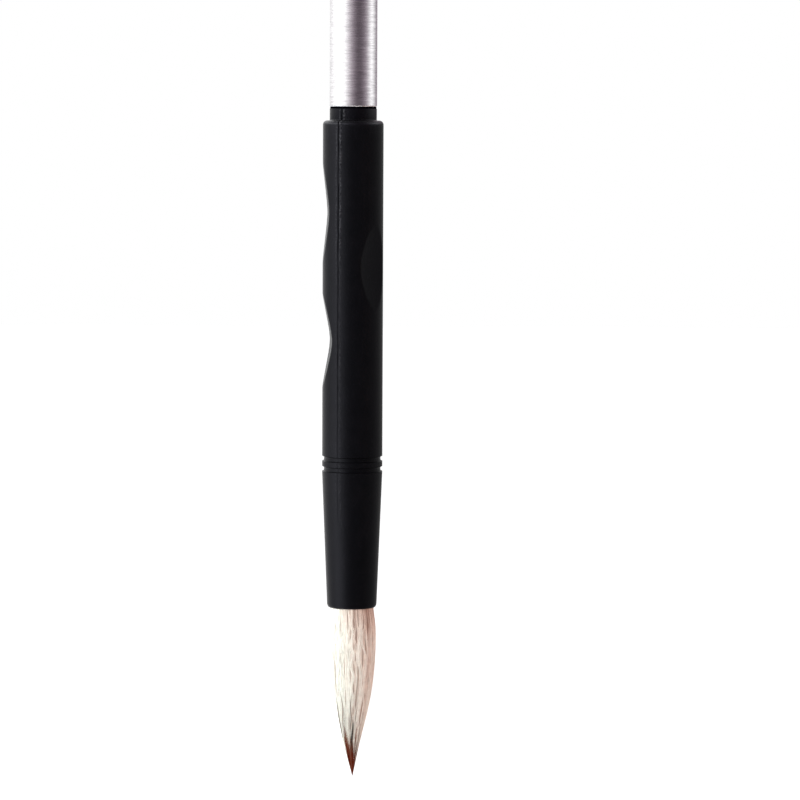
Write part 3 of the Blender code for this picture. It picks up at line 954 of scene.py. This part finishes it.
def brown_layer(name, count, sink, starts, tone, girth, points=16):
    turn = rng.uniform(0, 2 * np.pi, count)
    end = tuft_length - np.abs(rng.normal(0, BROWN_ENDS, count))
    start = rng.uniform(*starts, count)
    along = np.linspace(0, 1, points)
    depth = start[:, None] + (end - start)[:, None] * along
    angle = turn[:, None] + swing(waves(count, *BROWN_SWING), depth) / belly_radius
    radius = tuft_radius(depth) * (1 - rng.uniform(*sink, count))[:, None]
    thick = rng.uniform(*girth, count)[:, None] * (1.05 - 0.75 * along**2)
    thick = np.minimum(thick, 0.25 * tuft_radius(depth) + 0.000008)
    tones = rng.normal(*tone, count)[:, None]
    tones = tones + PALER_AT_START * (1 - ease(depth, *COMES_OUT))
    return make_hairs(name, angle, radius, depth, thick, tones)


# name, how many hairs, how far they lie below the outline as a share of its radius, the
# depths they start between, tone and how it varies, and girth from thin to thick
BROWN_LAYERS = (
    ("brown_hair_core", 420, (0.20, 0.45), (0.018, 0.024), (0.25, 0.18), (0.00006, 0.00009)),
    ("brown_hair_top", 620, (0.04, 0.18), (0.0215, 0.028), (0.55, 0.24), (0.00003, 0.00006)),
)
brown_pieces = [brown_layer(*layer) for layer in BROWN_LAYERS]

# %% [markdown]
# A few darker strands lie on the white hair. Each is a handful of hairs that share one path and
# thin out at both ends.

# %% Dark strands
STRAND_HAIRS = 8
DARK_SWING = (0.00016, (0.007, 0.012))
DARK_SPREAD = 0.0001  # how far a hair strays from its strand's path
DARK_GIRTH = 0.00005
DARK_LIFT = 0.00004  # how far above the outline the strands lie
# azimuth in degrees, where it starts and ends below the mouth, and its tone
DARK_STRANDS = (
    (204.0, 0.0240, 0.0345, 0.38),
    (212.0, 0.0120, 0.0240, 1.00),
    (229.0, 0.0225, 0.0325, 0.78),
    (265.0, 0.0235, 0.0330, 0.62),
    (272.0, 0.0292, 0.0364, 0.00),
    (283.0, 0.0150, 0.0270, 1.00),
    (80.0, 0.0220, 0.0340, 0.70),
    (120.0, 0.0160, 0.0300, 0.85),
    (30.0, 0.0200, 0.0330, 0.80),
)


def dark_strands(points=20):
    azimuth, start, end, tone = np.repeat(DARK_STRANDS, STRAND_HAIRS, axis=0).T
    count = len(azimuth)
    along = np.linspace(0, 1, points)
    start = start + rng.uniform(-0.001, 0.001, count)
    end = end + rng.uniform(-0.001, 0.0005, count)
    depth = start[:, None] + (end - start)[:, None] * along
    path = waves(len(DARK_STRANDS), *DARK_SWING)
    spread = rng.normal(0, DARK_SPREAD, count)[:, None] * np.sin(np.pi * along)
    aside = swing(np.repeat(path, STRAND_HAIRS, axis=0), depth) + spread
    angle = np.radians(azimuth)[:, None] + aside / np.maximum(tuft_radius(depth), 0.001)
    radius = tuft_radius(depth) + DARK_LIFT
    thick = DARK_GIRTH * (0.25 + 0.75 * np.sin(np.pi * along)) + 0 * depth
    tones = (tone + rng.normal(0, 0.06, count))[:, None]
    return make_hairs("dark_hair", angle, radius, depth, thick, tones)


dark_piece = dark_strands()

# %% [markdown]
# ## Bundles behind the hairs
#
# Behind the single hairs there must be no gap to see through. A smooth bundle, a little
# slimmer than the outline, fills each layer, as thousands more hairs do in the real brush.
# The white bundle is a sleeve that thins out on the brown one.

# %% Bundles
CORE_RADIUS = 0.0024
BUNDLE_TOP = -0.0148  # depth below the mouth, so inside the socket
CLEAR = 0.00004  # kept between the two bundles


def bundle(name, radius, depth, inner=None, steps=128):
    """A closed sleeve between two radii, or a solid one where no inner radius is given."""
    if inner is not None:
        radius, depth = np.append(radius, inner[::-1]), np.append(depth, depth[::-1])
    turn = np.linspace(0, 2 * np.pi, steps, endpoint=False)
    down = depth[:, None]
    points = around(radius[:, None], turn, mouth_z - down)
    points[..., 0] += sideways(down)
    faces = grid_faces(len(depth), steps, inner is not None).tolist()
    if inner is None:
        corners = len(depth) * steps
        faces += [list(range(steps)), list(range(corners - 1, corners - 1 - steps, -1))]
    obj = add_mesh(name, points, faces)
    store(obj, "lay", around(1.0, turn, down / tuft_length), "FLOAT_VECTOR")
    return report(smooth(obj, 60))


white_end = white_length - 0.0030
white_depth = np.linspace(BUNDLE_TOP, white_end, 60)
white_share = 0.90 - 0.05 * ease(white_depth, 0.018, white_end)
brown_depth = np.linspace(BUNDLE_TOP, tuft_length - 0.0001, 90)
brown_radius = np.minimum(CORE_RADIUS, 0.84 * tuft_radius(brown_depth))
white_inside = np.interp(white_depth, brown_depth, brown_radius) + CLEAR
white_outside = np.maximum(white_share * tuft_radius(white_depth), white_inside + CLEAR)
white_bundle = bundle("white_hair_bundle", white_outside, white_depth, white_inside)
brown_bundle = bundle("brown_hair_bundle", brown_radius, brown_depth)

# %% [markdown]
# Hair has a soft sheen along its length and is never one colour. Each hair's tone is read
# from the mesh and looked up on a ramp that runs from the few darkest hairs to the palest.

# %% Hair finishes
WHITE_TONES = (
    (0.0, (0.38, 0.27, 0.22)),
    (0.2, (0.61, 0.48, 0.415)),
    (0.6, (0.88, 0.805, 0.73)),
    (1.0, (0.955, 0.952, 0.885)),
)
BROWN_TONES = (
    (0.0, (0.050, 0.004, 0.002)),
    (0.4, (0.110, 0.008, 0.002)),
    (0.8, (0.165, 0.030, 0.012)),
    (1.0, (0.340, 0.170, 0.110)),
)
DARK_TONES = (
    (0.0, (0.030, 0.022, 0.018)),
    (0.5, (0.200, 0.130, 0.100)),
    (0.8, (0.400, 0.320, 0.275)),
    (1.0, (0.600, 0.520, 0.460)),
)


def hair_finish(name, tones, roughness, sheen):
    finish = Finish(name, tones[2][1], roughness)
    colour = finish.ramp(finish.attribute("tone"), *tones)
    patches = finish.ramp(finish.noise(900, 2.0), (0.3, 0.88), (0.7, 1.0))
    finish.to("Base Color", finish.mix(1.0, colour, patches, "MULTIPLY"))
    finish.to("Specular IOR Level", sheen)
    return finish.material


def bundle_finish(name, dark, pale, roughness):
    finish = Finish(name, pale, roughness)
    lay = finish.attribute("lay", "Vector")
    streaks = finish.noise(1.0, 4.0, finish.stretch((26, 26, 3), lay), roughness=0.65)
    finish.to("Base Color", finish.ramp(streaks, (0.3, dark), (0.75, pale)))
    finish.to("Normal", finish.bump(streaks, 0.0002, 0.8))
    return finish.material


HAIR_FINISHES = (
    (white_pieces, hair_finish("white_hair", WHITE_TONES, 0.55, 0.3)),
    (brown_pieces, hair_finish("brown_hair", BROWN_TONES, 0.5, 0.04)),
    ([dark_piece], hair_finish("dark_hair", DARK_TONES, 0.5, 0.12)),
    # the white bundle's warm grey, darker than the hair, is painted shade for the gaps between
    # locks
    ([white_bundle],
     bundle_finish("white_bundle", (0.46, 0.37, 0.32), (0.68, 0.59, 0.53), 0.7)),
    ([brown_bundle],
     bundle_finish("brown_bundle", (0.05, 0.006, 0.003), (0.13, 0.020, 0.008), 0.6)),
)
for pieces, material in HAIR_FINISHES:
    for piece in pieces:
        piece.data.materials.append(material)
print(len(HAIR_FINISHES), "hair finishes")

# %% [markdown]
# All the hair rides on the grip. The two bundles take the places of the frame's plain shapes,
# and the single hairs are added to them.

# %% Hair on the grip
for piece in (*white_pieces, dark_piece, white_bundle):
    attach(piece, "grip")
for piece in (*brown_pieces, brown_bundle):
    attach(piece, "grip")
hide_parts("hair_mantle")
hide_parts("hair_point")
print("hair pieces:", len(white_pieces) + len(brown_pieces) + 3)

# %% [markdown]
# ## Hidden pieces
#
# Deep in the socket, thread is wound round the roots, resin seals them, and short filling
# hair stands between the brown hair and the white. These keep the frame's own shapes and
# only get a finish: twisted cotton, cloudy amber, and cream hair.

# %% Finishes of the hidden pieces


def hidden_finish(name, dark, pale, roughness, stretch, bump):
    finish = Finish(name, pale, roughness)
    pattern = finish.noise(1.0, 3.0, finish.stretch(stretch))
    finish.to("Base Color", finish.ramp(pattern, (0.3, dark), (0.7, pale)))
    finish.to("Roughness", finish.spread(pattern, roughness - 0.08, roughness + 0.08))
    finish.to("Normal", finish.bump(pattern, bump, 0.8))
    return finish.material


hidden = {
    "root_binding": hidden_finish("binding_cotton", (0.48, 0.44, 0.37), (0.72, 0.68, 0.60),
                                  0.85, (5000, 5000, 9000), 0.00005),
    "root_plug": hidden_finish("amber_resin", (0.22, 0.11, 0.035), (0.38, 0.22, 0.08),
                               0.32, (700, 700, 700), 0.00001),
    "hair_belly": hidden_finish("cream_hair", (0.48, 0.40, 0.30), (0.74, 0.66, 0.54),
                                0.65, (9000, 9000, 300), 0.00008),
}
for node, material in hidden.items():
    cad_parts[node].data.materials.clear()
    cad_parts[node].data.materials.append(material)
    print(node, "keeps its shape and takes", material.name)

# %% [markdown]
# ## Floor and room
#
# The brush is held in a white room. The floor is well below the tip, pale, and takes the
# brush's soft shadow. The world is white wherever the camera or a shiny surface sees it, and
# lights the object more gently than that.

# %% Floor and world
FLOOR_DROP = 0.06
FLOOR_LIFT = 0.62
AMBIENT = 0.41

world = bpy.data.worlds.new("white_room")
bpy.context.scene.world = world
world.use_nodes = True
room = Nodes(world.node_tree)
backdrop = room.tree.nodes["Background"]
room.feed((1.0, 1.0, 1.0, 1.0), backdrop.inputs["Color"])
room.feed(room.spread(room.seen_directly(), AMBIENT, 1.0), backdrop.inputs["Strength"])

floor_z = tip_z - FLOOR_DROP
bpy.ops.mesh.primitive_plane_add(size=6.0, location=(0.0, 0.0, floor_z))
floor = bpy.context.object
floor.name = "floor"
paint = Finish("pale_floor", (0.9, 0.9, 0.9), 0.9)
lift = paint.maths("MULTIPLY", paint.seen_directly(), FLOOR_LIFT)
glow = paint.add("ShaderNodeEmission", 0, (("Strength", lift),))
both = paint.add("ShaderNodeAddShader", 0, ((0, paint.shader.outputs[0]), (1, glow)))
paint.feed(both, paint.surface)
floor.data.materials.append(paint.material)
print(f"floor {FLOOR_DROP * 1000:.0f} mm below the tip")

# %% [markdown]
# ## Lamps
#
# A big soft lamp to the front left lights the hair, and a weak warm one on the right keeps
# its shadow side soft. Neither shows in reflections: the next cell makes what they show.

# %% Lamps


def lamp(name, place, size, power, colour=(1.0, 1.0, 1.0)):
    data = bpy.data.lights.new(name, "AREA")
    data.shape = "RECTANGLE"
    data.size, data.size_y = size
    data.energy = power
    data.color = colour
    obj = link(bpy.data.objects.new(name, data))
    obj.location = place
    obj.rotation_euler = (-obj.location).to_track_quat("-Z", "Y").to_euler()
    obj.visible_camera = False
    obj.visible_glossy = False
    print(f"{name}: {power} W, {obj.location.length:.1f} m away")


lamp("left_softbox", (-1.01, -0.85, 0.0), (0.9, 1.2), 33.0, (0.97, 1.0, 0.985))
lamp("right_fill", (0.87, -0.60, -0.1), (0.5, 1.0), 8.7, (1.0, 0.55, 0.43))

# %% [markdown]
# ## What the shiny surfaces see
#
# A round shiny thing shows the whole room in a narrow strip, so its looks come from what
# stands round it. Here that is a wide round screen, with a colour ramp for its brightness
# round the brush and another for its brightness with height. A second, narrow one stands
# round the grip up to its shoulder and shades it, as a hand would. Both act on reflections
# only.

# %% Reflection screens
SCREEN_STRENGTH = 2.0
SCREEN_STEPS = 96
# outline from the bottom up as (radius, height), then brightness by angle from the camera's
# side, positive to the right
ROOM_SCREEN = ((0.02, floor_z + 0.001), (1.5, floor_z + 0.001), (1.5, 2.2), (0.02, 3.0))
ROOM_LIGHT = (
    (-180, 0.95), (-150, 1.0), (-127, 1.1), (-100, 1.5), (-60, 1.6), (-47, 1.45), (-40, 1.30),
    (-24, 0.79), (-9, 0.43),
    (5, 0.22), (20, 0.11), (36, 0.115), (52, 0.20), (69, 0.40), (85, 0.92), (100, 1.36),
    (111, 1.06), (145, 0.26), (165, 0.50), (180, 0.95),
)
HAND_SCREEN = ((0.015, floor_z + 0.001), (0.015, SHOULDER_Z + 0.0006))
HAND_LIGHT = (
    (-180, 0.9), (-149, 1.2), (-131, 1.03), (-115, 0.76), (-103, 0.57), (-90, 0.57), (-76, 0.57),
    (-63, 0.82), (-54, 1.15), (-44, 1.08),
    (-33, 0.77), (-21, 0.28), (-10, 0.14), (0, 0.07), (44, 0.06), (60, 0.11), (86, 0.20),
    (111, 0.24), (147, 0.50), (165, 0.7), (180, 0.9),
)
# the room's brightness by height, against its most, as shares of the height of its top
ROOM_TOP_Z = 3.0
UPPER_GAIN = 2.4
HEIGHT_LIGHT = ((0.12, 1 / UPPER_GAIN), (0.27, 1.0), (0.48, 0.25), (1.0, 0.10))


def tinted(grey, tint):
    """A screen's colour for the ramp. The tint shows in dark places and fades in bright ones."""
    fade = min(1.0, grey)
    return tuple(grey / SCREEN_STRENGTH * (t + (1 - t) * fade) for t in tint)


def reflection_screen(name, line, stops, tint):
    """A turned screen that only shiny surfaces see, with its light given by a ramp."""
    turn = np.linspace(0, 2 * np.pi, SCREEN_STEPS, endpoint=False)
    rings = np.stack([around(r, turn, z) for r, z in line])
    screen = add_mesh(name, rings, grid_faces(len(rings), SCREEN_STEPS).tolist())
    finish = Finish(name + "_light", (1.0, 1.0, 1.0), 1.0)
    position = finish.add("ShaderNodeNewGeometry", "Position")
    place = finish.add("ShaderNodeSeparateXYZ", "X", ((0, position),)).node.outputs
    front = finish.maths("MULTIPLY", place["Y"], -1.0)
    angle = finish.maths("ARCTAN2", place["X"], front)
    share = finish.spread(angle, 0.0, 1.0, -np.pi, np.pi)
    colour = finish.ramp(share, *((0.5 + degrees / 360, tinted(grey, tint))
                                  for degrees, grey in stops))
    height = finish.maths("DIVIDE", place["Z"], ROOM_TOP_Z)
    upper = finish.ramp(height, *HEIGHT_LIGHT)
    strength = finish.spread(upper, 0.0, SCREEN_STRENGTH * UPPER_GAIN)
    inputs = ("Color", colour), ("Strength", strength)
    finish.feed(finish.add("ShaderNodeEmission", 0, inputs), finish.surface)
    screen.data.materials.append(finish.material)
    for ray in ("camera", "diffuse", "shadow", "transmission"):
        setattr(screen, "visible_" + ray, False)
    print(f"{name}: {2 * max(r for r, z in line):.2f} m across")


reflection_screen("room_screen", ROOM_SCREEN, ROOM_LIGHT, (1.0, 0.77, 0.94))
reflection_screen("hand_screen", HAND_SCREEN, HAND_LIGHT, (1.0, 1.0, 1.0))

# %% [markdown]
# ## Colour management
#
# The Standard view shows colours as they were written.

# %% View
bpy.context.scene.view_settings.view_transform = "Standard"
